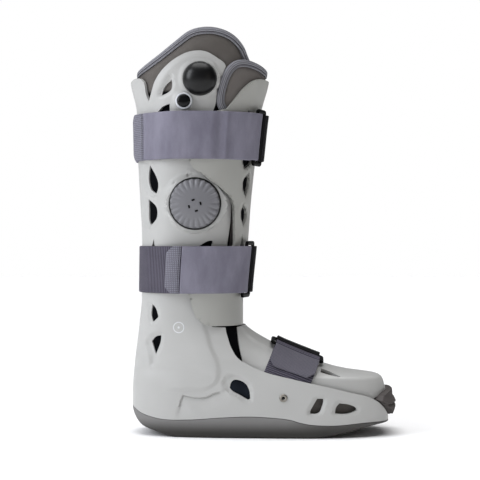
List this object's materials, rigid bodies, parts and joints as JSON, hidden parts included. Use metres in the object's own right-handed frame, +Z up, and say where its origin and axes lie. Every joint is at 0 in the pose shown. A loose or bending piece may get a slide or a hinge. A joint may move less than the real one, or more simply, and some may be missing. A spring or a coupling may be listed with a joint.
{
  "type": "medical walking boot",
  "caption": "Tall medical walking boot: grey plastic shells over a padded liner, straps through black rings, rocker sole, pump bulb, release valve and selector dial.",
  "frame": {"origin": "on the ground under the leg's axis, in the middle of the boot's width, on the flat of the sole", "axes": "+X towards the toes, +Z up the leg, and -Y is the side with the pump bulb, valve and dial"},
  "size_m": [0.2906, 0.1483, 0.4359],
  "materials": {
    "shell_plastic": "satin moulded",
    "front_shell_plastic": "satin moulded",
    "sole_rubber": "matte",
    "liner_cloth": "short pile",
    "binding_tape": "woven tape",
    "pile_cloth": "brushed loop pile",
    "webbing": "ribbed weave",
    "hook_tape": "ribbed hook tape",
    "ring_plastic": "moulded",
    "bulb_rubber": "smooth",
    "valve_plastic": "satin",
    "button_plastic": "glossy",
    "dial_plastic": "satin",
    "rivet_metal": "nickel plated"
  },
  "bodies": {
    "boot": {"rocker_sole": "sole_rubber", "base_shell": "shell_plastic", "front_shell": "front_shell_plastic", "instep_shell": "shell_plastic", "foot_liner": "liner_cloth", "toe_pad": "liner_cloth", "calf_liner": "liner_cloth", "calf_liner_binding": "binding_tape", "shin_liner": "liner_cloth", "shin_liner_binding": "binding_tape", "pump_bulb": "bulb_rubber", "valve_ring": "valve_plastic", "dial_gasket": "bulb_rubber", "strap_top": "pile_cloth", "strap_top_tab": "hook_tape", "strap_top_webbing": "webbing", "ring_top": "ring_plastic", "strap_middle": "pile_cloth", "strap_middle_tab": "hook_tape", "strap_middle_webbing": "webbing", "ring_middle": "ring_plastic", "strap_foot": "webbing", "strap_foot_tab": "hook_tape", "strap_foot_webbing": "webbing", "ring_foot": "ring_plastic", "tray_rivet_near": "rivet_metal", "tray_rivet_far": "rivet_metal"},
    "dial": {"dial_knob": "dial_plastic"},
    "valve": {"valve_button": "button_plastic"}
  },
  "joints": [
    {"name": "dial_turn", "type": "hinge", "parent": "boot", "child": "dial", "pos_m": [0.0006, -0.06, 0.2482], "axis": [0, -1, 0], "range_deg": [0, 270]},
    {"name": "valve_press", "type": "slide", "parent": "boot", "child": "valve", "axis": [0, 1, 0], "range_m": [0, 0.002], "stiffness_N_per_m": 500}
  ]
}
